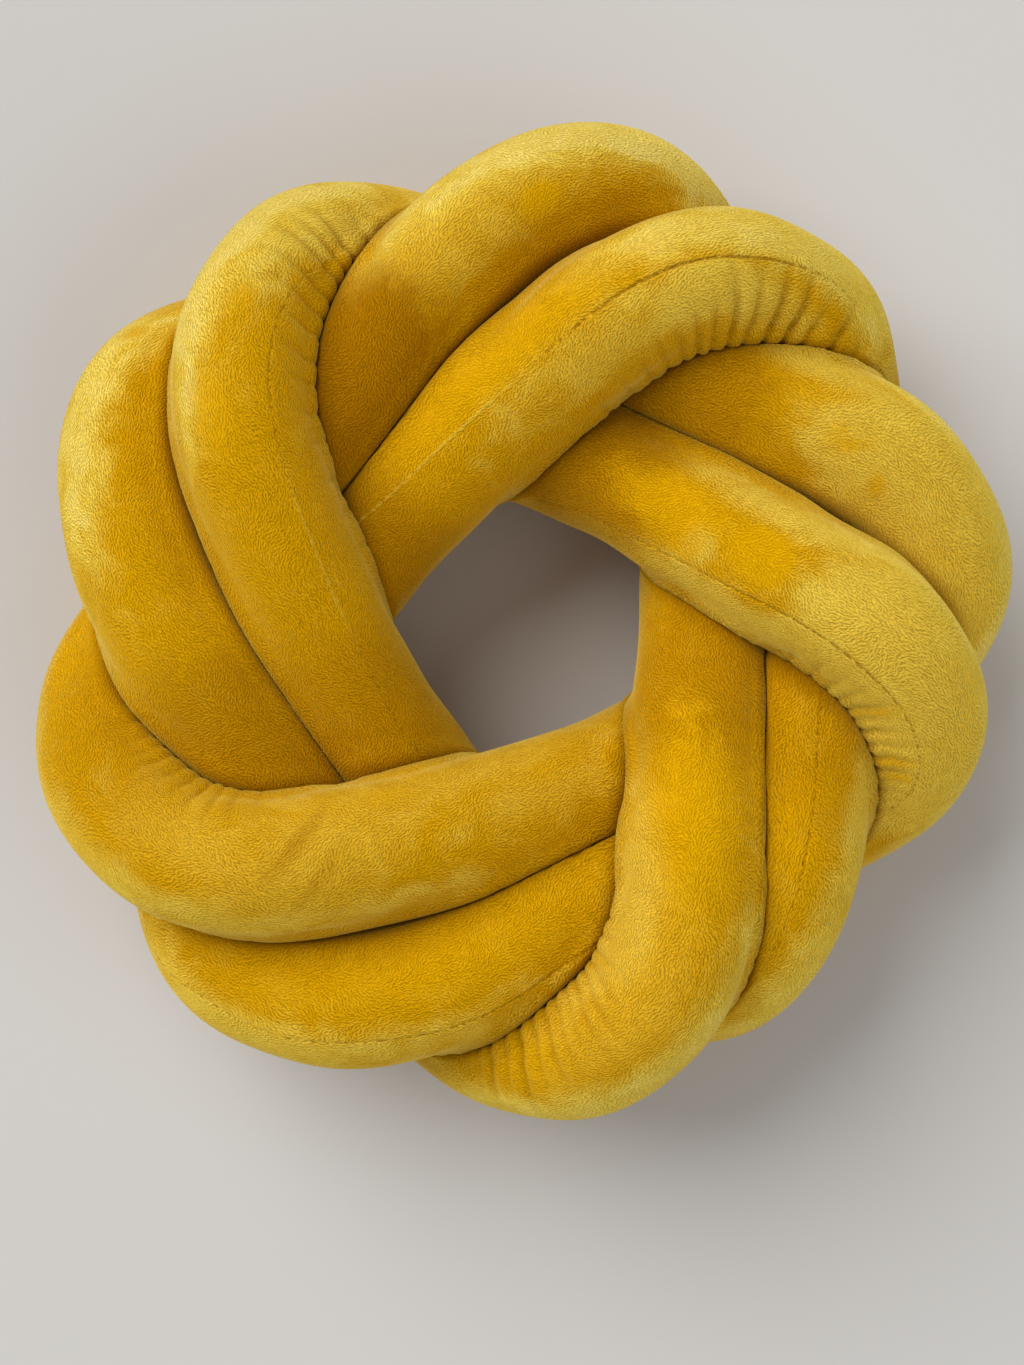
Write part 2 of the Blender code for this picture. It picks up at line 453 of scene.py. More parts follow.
@dataclass
class Centreline:
    """The line that the tube follows: one closed smooth curve through the stations of its passes."""

    samples: int = 4800
    span_steps: int = 120

    def __post_init__(self) -> None:
        """Works out the even samples, and the frame and the bend at each."""
        self._run_smooth_curve(self._stations())
        self._frame_samples()

    def _stations(self) -> np.ndarray:
        """Places the stations that the curve runs through.

        Returns:
            Their points, round the middle of the hole.
        """
        points = []
        for index, run in enumerate(PASSES):
            spots = (run.rim, run.shoulder, run.chord, run.waist)
            points += [self._place(*spot, height) for spot, height in zip(spots, HEIGHTS[run.side])]
            next_rim = PASSES[(index + 1) % len(PASSES)].rim
            way_round = (next_rim.angle - run.waist.angle) % FULL_TURN
            way_out = next_rim.radius - run.waist.radius
            for back in RETURNS[run.side]:
                angle = run.waist.angle + way_round * back.angle_share
                radius = run.waist.radius + way_out * back.radius_share
                points.append(self._place(angle, radius, back.height))
        return np.array(points)

    @staticmethod
    def _place(angle: float, radius: float, height: float) -> tuple[float, float, float]:
        """A point from its angle, its way out from the hole's middle and its height over the mid-plane."""
        turn = math.radians(angle)
        return radius * math.cos(turn), radius * math.sin(turn), height

    def _run_smooth_curve(self, points: np.ndarray) -> None:
        """Runs a closed cubic spline through the stations and spaces samples evenly along it.

        Args:
            points: The stations.
        """
        size = len(points)
        after = np.roll(points, -1, axis=0)
        spans = np.linalg.norm(after - points, axis=1)
        slopes = (after - points) / spans[:, None]
        spans_before = np.roll(spans, 1)
        rows = np.arange(size)
        system = np.zeros((size, size))
        system[rows, rows - 1] = spans_before
        system[rows, rows] = 2 * (spans_before + spans)
        system[rows, (rows + 1) % size] = spans
        bends = np.linalg.solve(system, 6 * (slopes - np.roll(slopes, 1, axis=0)))
        bends_after = np.roll(bends, -1, axis=0)
        width = spans[:, None]
        steps = np.linspace(0, 1, self.span_steps, endpoint=False)[:, None, None]
        left = (1 - steps) * width
        right = steps * width
        curve = (
            (bends * left**3 + bends_after * right**3) / (6 * width)
            + (points / width - bends * width / 6) * left
            + (after / width - bends_after * width / 6) * right
        )
        curve = curve.transpose(1, 0, 2).reshape(-1, 3)
        closed = np.vstack([curve, curve[:1]])
        steps_long = np.linalg.norm(np.diff(closed, axis=0), axis=1)
        along = np.concatenate([[0], np.cumsum(steps_long)])
        self.length = float(along[-1])
        self.along = np.linspace(0, self.length, self.samples, endpoint=False)
        self.points = np.stack([np.interp(self.along, along, closed[:, axis]) for axis in range(3)], axis=1)
        stations_a_pass = size // len(PASSES)
        starts = along[:: self.span_steps * stations_a_pass]
        self.rims = {run.name: float(start) for run, start in zip(PASSES, starts)}

    def _frame_samples(self) -> None:
        """Finds the way to the side, the way up and the bend at each sample."""
        forward = np.roll(self.points, -1, axis=0) - np.roll(self.points, 1, axis=0)
        forward /= np.linalg.norm(forward, axis=1)[:, None]
        self.side = np.cross(forward, (0, 0, 1))
        self.side /= np.linalg.norm(self.side, axis=1)[:, None]
        self.upward = np.cross(self.side, forward)
        step = self.length / self.samples
        self.bend = (np.roll(forward, -1, axis=0) - np.roll(forward, 1, axis=0)) / (2 * step)

    def read(self, values: np.ndarray, along: np.ndarray) -> np.ndarray:
        """Reads a row of numbers at places along the tube, from the rows of all the samples."""
        columns = [np.interp(along, self.along, column, period=self.length) for column in values.T]
        return np.stack(columns, axis=1)

    def past(self, along: np.ndarray, run: str, past_rim: float) -> np.ndarray:
        """How many millimetres places lie past a mark, which lies so many past the rim of its pass."""
        onward = (along - (self.rims[run] + past_rim * MILLIMETRE) + self.length / 2) % self.length
        return (onward - self.length / 2) / MILLIMETRE

    def inner_angle(self, along: np.ndarray) -> np.ndarray:
        """The section angle that faces the centre of the tube's bend.

        Args:
            along: Metres along the tube.

        Returns:
            Degrees.
        """
        bend = self.read(self.bend, along)
        up = (bend * self.read(self.upward, along)).sum(axis=1)
        out = (bend * self.read(self.side, along)).sum(axis=1)
        return np.degrees(np.arctan2(up, out)) % FULL_TURN


@dataclass(frozen=True)
class HiddenCreases:
    """Uneven creases for the bends that the face doesn't show, drawn by chance.

    They run from before each rim to underneath it on an inner pass, and past it on an outer one. Reaches
    are in degrees round the section, and all else is in millimetres.
    """

    start: float = -88.0
    underneath_end: float = -22.0
    outer_end: float = 88.0
    underneath_reach: Pair = (58, 78)
    upper_reach: Pair = (34, 46)
    depth: Pair = (0.6, 1.5)
    lean: Pair = (-3, 3)
    spacing: Pair = (7, 12)
    placed_by_hand: str = "C_outer"
    by_hand_past: float = -16.0

    def draw(self, line: Centreline, seed: int) -> list[Fold]:
        """Draws the creases.

        Args:
            line: The tube's centreline.
            seed: What the draw starts from.

        Returns:
            The creases, pass by pass.
        """
        chance = np.random.default_rng(seed)
        folds = []
        for run in PASSES:
            end = self.underneath_end if run.side is Side.INNER else self.outer_end
            place = self.start
            while place < end:
                along = np.array([line.rims[run.name] + place * MILLIMETRE])
                reach = self.underneath_reach if place < self.underneath_end else self.upper_reach
                fades_at = float(line.inner_angle(along)[0]) - chance.uniform(*reach)
                if run.name != self.placed_by_hand or place <= self.by_hand_past:
                    depth = chance.uniform(*self.depth)
                    lean = chance.uniform(*self.lean)
                    folds.append(Fold(run.name, place, fades_at, depth, lean))
                place += chance.uniform(*self.spacing)
        return folds


@dataclass
class KnotTube:
    """The stuffed tube. Its cloth presses where turns meet, gathers in the bends and dips at its seam."""

    centreline: Centreline
    radius: float = 0.0272
    mid_plane: float = 0.0635
    hole_middle: Pair = (0.0024, -0.0031)
    seed: int = 11

    # The grid of its cloth. Its rings start so many millimetres before the first rim and lie a coarse or a
    # fine step apart. Its columns crowd beside the seam, over a width in degrees.
    rings: int = 1480
    sides: int = 66
    starts_before: float = 62.0
    coarse_step: float = 5.6
    fine_step: float = 1.25
    round_steps: int = 3600
    seam_crowding: float = 5.5
    seam_crowding_width: float = 4.5

    # How its turns press on each other and how the stuffing fills it, in metres and in shares.
    turn_gap: float = 0.00015
    same_stretch: float = 0.088
    touch_samples: int = 1600
    pinch_share: float = 0.8
    corner_power: float = 16.0
    draw_gap: float = 0.0082
    draw_firmness: float = 1.35
    # How far from another turn the painted shade between turns reaches.
    turn_shade_reach: float = 0.0034
    most_swelling: float = 1.12
    girth_halvings: int = 24
    swelling_samples: int = 1200
    swelling_blend: int = 4
    lump_size: float = 0.011
    lump_waves: int = 26
    lump_cycles: tuple[int, int] = (34, 92)
    lump_turns: int = 4

    # Its creases. The fold width is in millimetres, and the other widths and the range are counted in it.
    # The least reach is in degrees, and where a crease deepens and fades is in shares of its reach.
    fold_width: float = 3.8
    fold_strength: float = 1.25
    fold_range: float = 4.0
    least_reach: float = 12.0
    fade_share: float = 0.45
    middle_depth: float = 0.35
    deepens_from: float = 0.1
    valley_width: float = 0.48
    puff_height: float = 0.28
    puff_width: float = 1.5

    # Its sewn seam, in millimetres and in shares. Cycles are counted over the whole tube.
    seam_depth: float = 0.75
    seam_width: float = 0.6
    ridge_share: float = 0.4
    lip_height: float = 0.2
    lip_width: float = 2.6
    softened_by: float = 6.0
    softening_steps: int = 7
    stitch_waves: int = 12
    stitch_cycles: tuple[int, int] = (300, 700)
    stitch_unevenness: float = 0.12

    def __post_init__(self) -> None:
        """Places the rings along the tube and the columns of cloth round it."""
        self.folds = [*entries(Fold, FOLDS), *HiddenCreases().draw(self.centreline, self.seed)]
        self.along = self._ring_places()
        self.round = self._column_angles()
        seam, self.seam_tones = self._seam_course()
        self.angles = (seam[:, None] + self.round[None, :]) % FULL_TURN

    def _ring_places(self) -> np.ndarray:
        """Spaces the rings along the tube, close together in the gathers.

        Returns:
            Metres along the tube.
        """
        line = self.centreline
        need = np.zeros(line.samples)
        for fold in self.folds:
            away = line.past(line.along, fold.run, fold.past_rim)
            need += np.exp(-((away / self.fold_width) ** 2))
        rate = 1 / self.coarse_step + np.clip(need, 0, 1) * (1 / self.fine_step - 1 / self.coarse_step)
        total = np.concatenate([[0], np.cumsum(rate)])
        total *= self.rings / total[-1]
        ends = np.concatenate([line.along, [line.length]])
        places = np.interp(np.arange(self.rings), total, ends)
        start = line.rims[PASSES[0].name] - self.starts_before * MILLIMETRE
        shift = int(np.searchsorted(places, start % line.length))
        return np.roll(places, -shift)

    def _column_angles(self) -> np.ndarray:
        """Spaces the columns of the cloth, close together beside the seam.

        Returns:
            Degrees round the tube from its seam.
        """
        fine = np.linspace(0, FULL_TURN, self.round_steps + 1)
        beside = np.minimum(fine, FULL_TURN - fine)
        rate = 1 + self.seam_crowding * np.exp(-((beside / self.seam_crowding_width) ** 2))
        total = np.concatenate([[0], np.cumsum((rate[1:] + rate[:-1]) / 2)])
        return np.interp(np.arange(self.sides) * total[-1] / self.sides, total, fine)

    def _seam_course(self) -> tuple[np.ndarray, np.ndarray]:
        """The course of the sewn seam.

        Returns:
            Its section angle and its tone at each ring.
        """
        line = self.centreline
        spots = entries(SeamSpot, SEAM)
        marks = np.array([line.rims[spot.run] + spot.past_rim * MILLIMETRE for spot in spots])
        order = np.argsort(marks)
        values = np.array([(spot.angle, spot.tone) for spot in spots], dtype=float)[order]
        shifts = np.linspace(-self.softened_by, self.softened_by, self.softening_steps) * MILLIMETRE
        read = [
            [np.interp(self.along + shift, marks[order], column, period=line.length) for shift in shifts]
            for column in values.T
        ]
        angles, tones = np.mean(read, axis=1)
        return angles, tones

    def _outward(self) -> np.ndarray:
        """The way out from the centreline.

        Returns:
            A way of length 1 for each ring and column.
        """
        line = self.centreline
        side = line.read(line.side, self.along)[:, None]
        upward = line.read(line.upward, self.along)[:, None]
        turn = np.radians(self.angles)[:, :, None]
        return side * np.cos(turn) + upward * np.sin(turn)

    def _way_to_turns(self, centres: np.ndarray, outward: np.ndarray) -> np.ndarray:
        """How far away the face lies where the tube would press on another turn, halfway between them.

        Args:
            centres: The middle of each ring.
            outward: The ways out, for each ring and column.

        Returns:
            Metres, for each ring and column.
        """
        line = self.centreline
        others_along = line.along[:: line.samples // self.touch_samples]
        others = line.points[:: line.samples // self.touch_samples]
        reach = np.full(outward.shape[:2], FAR)
        for index, centre in enumerate(centres):
            apart = np.abs(others_along - self.along[index] % line.length)
            apart = np.minimum(apart, line.length - apart)
            away = others[apart > self.same_stretch] - centre
            towards = outward[index] @ away.T + self.turn_gap
            squared = (away**2).sum(axis=1) - self.turn_gap**2
            limits = np.where(towards > 0, squared / (2 * np.maximum(towards, TINY)), FAR)
            reach[index] = limits.min(axis=1)
        return reach

    def _way_to_bend(self, outward: np.ndarray) -> np.ndarray:
        """How far the cloth can reach towards the centre of the tube's own bend."""
        inside = np.einsum("rsx,rx->rs", outward, self.centreline.read(self.centreline.bend, self.along))
        return np.minimum(self.pinch_share / np.maximum(inside, TINY), FAR)

    def _soft_least(self, reach: np.ndarray, free: np.ndarray) -> np.ndarray:
        """The lesser of two lengths, with the corner between them rounded."""
        shares = [(length / self.radius) ** -self.corner_power for length in (reach, free)]
        return sum(shares) ** (-1 / self.corner_power) * self.radius

    def _girth(self, radii: np.ndarray) -> np.ndarray:
        """The length of cloth round each ring, from the radii of its columns."""
        corners = radii * np.exp(1j * np.radians(self.round))
        return np.abs(np.roll(corners, -1, axis=1) - corners).sum(axis=1)

    def _pressed(self, turns: np.ndarray, bend: np.ndarray, free: np.ndarray) -> np.ndarray:
        """The radii of the tube where it presses on itself. Cloth that nearly touches is drawn to touch.

        Args:
            turns: The way to the other turns, for each ring and column.
            bend: The way to the tube's own bend.
            free: The radii that the stuffing would give it.

        Returns:
            Metres, for each ring and column.
        """
        held = self._soft_least(bend, free)
        gap = turns - held
        drawn = np.maximum(gap, 0) * smooth_step((1 - gap / self.draw_gap) * self.draw_firmness)
        return np.minimum(turns, held + drawn)

    def _radii(self, turns: np.ndarray, bend: np.ndarray) -> np.ndarray:
        """The radii of the tube. Its cloth is as long round everywhere, so it swells where it is free.

        Args:
            turns: The way to the other turns, for each ring and column.
            bend: The way to the tube's own bend.

        Returns:
            Metres, for each ring and column.
        """
        wanted = self._girth(np.full((1, self.sides), self.radius))[0]
        low = np.full(self.rings, self.radius)
        high = low * self.most_swelling
        for _ in range(self.girth_halvings):
            middle = (low + high) / 2
            short = self._girth(self._pressed(turns, bend, middle[:, None])) < wanted
            low = np.where(short, middle, low)
            high = np.where(short, high, middle)
        even = np.linspace(0, self.centreline.length, self.swelling_samples, endpoint=False)
        spread = np.interp(even, self.along, low, period=self.centreline.length)
        shifts = range(-self.swelling_blend, self.swelling_blend + 1)
        spread = np.mean([np.roll(spread, shift) for shift in shifts], axis=0)
        swelling = np.interp(self.along, even, spread, period=self.centreline.length)
        return self._pressed(turns, bend, swelling[:, None] * (1 + self._lumps()))

    def _lumps(self) -> np.ndarray:
        """How the loose stuffing makes the tube a little uneven.

        Returns:
            A share of its radius for each ring and column.
        """
        chance = np.random.default_rng(self.seed + 1)
        waves = np.zeros(self.angles.shape)
        for _ in range(self.lump_waves):
            cycles = chance.integers(*self.lump_cycles)
            turns = chance.integers(0, self.lump_turns)
            phase = chance.uniform(0, 2 * math.pi)
            lengthwise = 2 * math.pi * cycles * self.along / self.centreline.length
            waves += np.cos(lengthwise[:, None] + turns * np.radians(self.angles) + phase)
        return waves * self.lump_size * math.sqrt(2 / self.lump_waves)

    def _gathers(self) -> tuple[np.ndarray, np.ndarray]:
        """The relief of the folds.

        Returns:
            Metres that the cloth sinks for each ring and column, and how far into a fold it lies, 0 to 1.
        """
        sunk = np.zeros(self.angles.shape)
        inner = self.centreline.inner_angle(self.along)
        from_inner = angle_between(self.angles, inner[:, None])
        for fold in self.folds:
            past = self.centreline.past(self.along, fold.run, fold.past_rim)
            near = np.flatnonzero(np.abs(past) < self.fold_range * self.fold_width)
            fold_inner = float(np.interp(0, past[near], np.unwrap(inner[near], period=FULL_TURN)))
            reach = max(abs(float(angle_between(np.array(fold.fades_at), fold_inner))), self.least_reach)
            share = np.abs(from_inner[near]) / reach
            deepened = smooth_step((share - self.deepens_from) / self.fade_share)
            window = self.middle_depth + (1 - self.middle_depth) * deepened
            window *= smooth_step((1 - share) / self.fade_share)
            shift = fold.lean * np.clip(share, 0, 1) ** 2
            away = (past[near][:, None] - shift) / self.fold_width
            valley = np.exp(-((away / self.valley_width) ** 2))
            puff = self.puff_height * np.exp(-((away / self.puff_width) ** 2))
            sunk[near] += fold.depth * window * (valley - puff)
        return sunk * self.fold_strength * MILLIMETRE, np.clip(sunk, 0, 1)

    def _seam_dip(self) -> np.ndarray:
        """How far the cloth sinks at the sewn seam, between its puffed lips.

        Returns:
            Metres, for each ring and column.
        """
        beside = np.minimum(self.round, FULL_TURN - self.round)
        away = np.radians(beside) * self.radius / MILLIMETRE
        dip = self.seam_depth * np.exp(-((away / self.seam_width) ** 2))
        lips = self.lip_height * np.exp(-((away / self.lip_width) ** 2))
        chance = np.random.default_rng(self.seed + 2)
        uneven = np.ones(self.rings)
        for _ in range(self.stitch_waves):
            cycles = chance.integers(*self.stitch_cycles)
            phase = chance.uniform(0, 2 * math.pi)
            lengthwise = 2 * math.pi * cycles * self.along / self.centreline.length
            uneven += self.stitch_unevenness * np.cos(lengthwise + phase)
        depth = np.where(self.seam_tones > 0, self.seam_tones, self.ridge_share * self.seam_tones)
        return (dip * depth[:, None] - lips) * uneven[:, None] * MILLIMETRE

    def _patch_fields(self, patches: list[TonePatch]) -> tuple[np.ndarray, np.ndarray]:
        """How deep each place lies in patches of one kind, and how much their colour shows there.

        Args:
            patches: The patches.

        Returns:
            For each ring and column 1 well inside a patch, 0 on its border and -1 well outside, and the
            strength of the patch that it lies deepest in.
        """
        depth = np.full(self.angles.shape, -1.0)
        strength = np.zeros(self.angles.shape)
        degree = math.radians(1) * self.radius / MILLIMETRE
        for patch in patches:
            lengthwise = self.centreline.past(self.along, patch.run, patch.past_rim)[:, None]
            crosswise = angle_between(self.angles, patch.angle) * degree
            turn = math.radians(patch.turned)
            first = lengthwise * math.cos(turn) + crosswise * math.sin(turn)
            second = crosswise * math.cos(turn) - lengthwise * math.sin(turn)
            from_middle = np.hypot(first / patch.half_length, second / (patch.half_width * degree))
            narrowest = min(patch.half_length, patch.half_width * degree)
            inside = np.clip((1 - from_middle) * narrowest / patch.border, -1, 1)
            weight = smooth_step((inside - depth + 1) / 2)
            strength = strength + (patch.strength - strength) * weight
            depth = np.maximum(depth, inside)
        return depth, strength

    def build(self) -> bpy.types.Object:
        """Builds the tube's cloth as one closed mesh.

        Returns:
            The tube's piece.
        """
        line = self.centreline
        centres = line.read(line.points, self.along)
        outward = self._outward()
        gathered, fold_shade_mask = self._gathers()
        turns = self._way_to_turns(centres, outward)
        radii = self._radii(turns, self._way_to_bend(outward))
        # A mask for the painted shade between turns: 1 where the cloth meets another turn, fading as the
        # gap opens.
        turn_shade_mask = np.exp(-(turns - radii) / self.turn_shade_reach)
        radii -= gathered + self._seam_dip()
        down = np.maximum(-outward[:, :, 2], TINY)
        radii = np.minimum(radii, (centres[:, 2] + self.mid_plane)[:, None] / down)
        points = centres[:, None] + outward * radii[:, :, None]
        points += np.array([*self.hole_middle, self.mid_plane])
        fields = {
            # Masks for the painted shade in the folds and between turns.
            "fold_shade_mask": fold_shade_mask,
            "turn_shade_mask": turn_shade_mask,
            "seam_tone": np.broadcast_to(self.seam_tones[:, None], self.angles.shape),
        }
        for name, patches in PATCHES.items():
            fields[name], fields[f"{name}_strength"] = self._patch_fields(entries(TonePatch, patches))
        return self._wrap(points, fields)

    def _wrap(self, points: np.ndarray, fields: dict[str, np.ndarray]) -> bpy.types.Object:
        """Wraps a grid round the tube and closes it both ways.

        Args:
            points: The place of each ring and column.
            fields: Named numbers for each ring and column, kept as attributes.

        Returns:
            The tube's piece.
        """
        shape = bmesh.new()
        shape.loops.layers.uv.new("cloth")
        layers = {name: shape.verts.layers.float.new(name) for name in fields}
        bmesh.ops.create_grid(shape, x_segments=self.sides, y_segments=self.rings, size=1, calc_uvs=True)
        shape.verts.ensure_lookup_table()
        for index, vertex in enumerate(shape.verts):
            row, column = divmod(index, self.sides + 1)
            ring = row % self.rings
            corner = column % self.sides
            vertex.co = points[ring, corner]
            for name, layer in layers.items():
                vertex[layer] = fields[name][ring, corner]
        bmesh.ops.remove_doubles(shape, verts=shape.verts, dist=TINY)
        bmesh.ops.recalc_face_normals(shape, faces=shape.faces)
        tube = piece_of(shape, "velvet_tube")
        self._measure_uv(tube.data)
        tube.data.shade_smooth()
        return tube

    def _measure_uv(self, mesh: bpy.types.Mesh) -> None:
        """Turns the grid's UV map into metres of cloth: round from the seam, and along the tube.

        Args:
            mesh: The tube's mesh.
        """
        uv = mesh.uv_layers["cloth"].uv
        values = np.empty(len(uv) * 2, dtype=np.float32)
        uv.foreach_get("vector", values)
        columns, rows = values.reshape(-1, 2).T
        across = np.append(self.round, FULL_TURN)
        column = np.rint(columns * self.sides).astype(int)
        row = np.rint(rows * self.rings).astype(int)
        onward = (self.along - self.along[0]) % self.centreline.length
        onward = np.append(onward, self.centreline.length)
        placed = np.stack([np.radians(across[column]) * self.radius, onward[row]], axis=1)
        uv.foreach_set("vector", placed.astype(np.float32).ravel())


@dataclass(frozen=True)
class Signal:
    """A shader socket that takes part in arithmetic."""

    board: "Board"
    socket: bpy.types.NodeSocket

    def __add__(self, other: "Signal | float") -> "Signal":
        """This plus another."""
        return self.board.maths("ADD", self, other)

    def __sub__(self, other: "Signal | float") -> "Signal":
        """This less another."""
        return self.board.maths("SUBTRACT", self, other)

    def __rsub__(self, other: float) -> "Signal":
        """A number less this."""
        return self.board.maths("SUBTRACT", other, self)

    def __mul__(self, other: "Signal | float") -> "Signal":
        """This times another."""
        return self.board.maths("MULTIPLY", self, other)

    __radd__ = __add__
    __rmul__ = __mul__


class Noise(NamedTuple):
    """Cloudy noise: its grain in metres round and along the tube, its finer layers, and how bent it is."""

    size: Pair
    detail: float
    curl: float = 0.0


@dataclass
class Board:
    """The node tree of one material, which is laid out by the place on the cloth."""

    tree: bpy.types.NodeTree

    def __post_init__(self) -> None:
        """Reads the place on the cloth: metres round from the seam, and along the tube."""
        self.place = self.node("ShaderNodeUVMap", {"uv_map": "cloth"}, {})

    def node(
        self, kind: str, settings: dict[str, Any], sockets: dict[str | int, Any], output: str | int = 0
    ) -> Signal:
        """Adds a node.

        Args:
            kind: The node's type.
            settings: Its settings, which are made first.
            sockets: A value or a signal for each named or numbered input.
            output: The output that is wanted.

        Returns:
            That output.
        """
        added = self.tree.nodes.new(kind)
        for name, value in settings.items():
            setattr(added, name, value)
        for name, value in sockets.items():
            if isinstance(value, Signal):
                self.tree.links.new(value.socket, added.inputs[name])
            else:
                added.inputs[name].default_value = value
        return Signal(self, added.outputs[output])

    def maths(self, operation: str, first: Signal | float, second: Signal | float) -> Signal:
        """Works out an operation on two signals or numbers."""
        return self.node("ShaderNodeMath", {"operation": operation}, {0: first, 1: second})

    def vector(self, operation: str, sockets: dict[str | int, Any]) -> Signal:
        """Works out an operation on vectors."""
        return self.node("ShaderNodeVectorMath", {"operation": operation}, sockets)

    def attribute(self, name: str) -> Signal:
        """Reads one of the named numbers that the cloth carries."""
        return self.node("ShaderNodeAttribute", {"attribute_name": name}, {}, output="Fac")

    def eased(self, value: Signal, limits: Pair) -> Signal:
        """Eases a signal from 0 at the first limit to 1 at the second."""
        sockets = {"Value": value, "From Min": limits[0], "From Max": limits[1]}
        return self.node("ShaderNodeMapRange", {"interpolation_type": "SMOOTHSTEP"}, sockets)

    def blend(self, share: Signal | float, first: Signal | Colour, second: Signal | Colour) -> Signal:
        """Mixes two colours, of which the second shows by the share."""
        # A Mix node's inputs 6 and 7 and its output 2 are the ones for colours.
        sockets = {0: share, 6: first, 7: second}
        return self.node("ShaderNodeMix", {"data_type": "RGBA"}, sockets, output=2)

    def noise(self, look: Noise, output: str = "Fac") -> Signal:
        """Noise on the cloth, about 0.5 on average.

        Args:
            look: The noise that is wanted.
            output: Fac for one number, or Color for three.

        Returns:
            The noise.
        """
        mapped = self.vector("MULTIPLY", {0: self.place, 1: (1 / look.size[0], 1 / look.size[1], 1.0)})
        sockets = {"Vector": mapped, "Scale": 1.0, "Detail": look.detail, "Distortion": look.curl}
        return self.node("ShaderNodeTexNoise", {}, sockets, output=output)

    def swirled(self, look: Noise, sway: float) -> Signal:
        """Shifts the place to and fro by a noise, up to half the sway, so that streaks on it bend."""
        centred = self.vector("SUBTRACT", {0: self.noise(look, output="Color"), 1: (0.5, 0.5, 0.5)})
        return self.vector("ADD", {0: self.place, 1: self.vector("SCALE", {0: centred, "Scale": sway})})


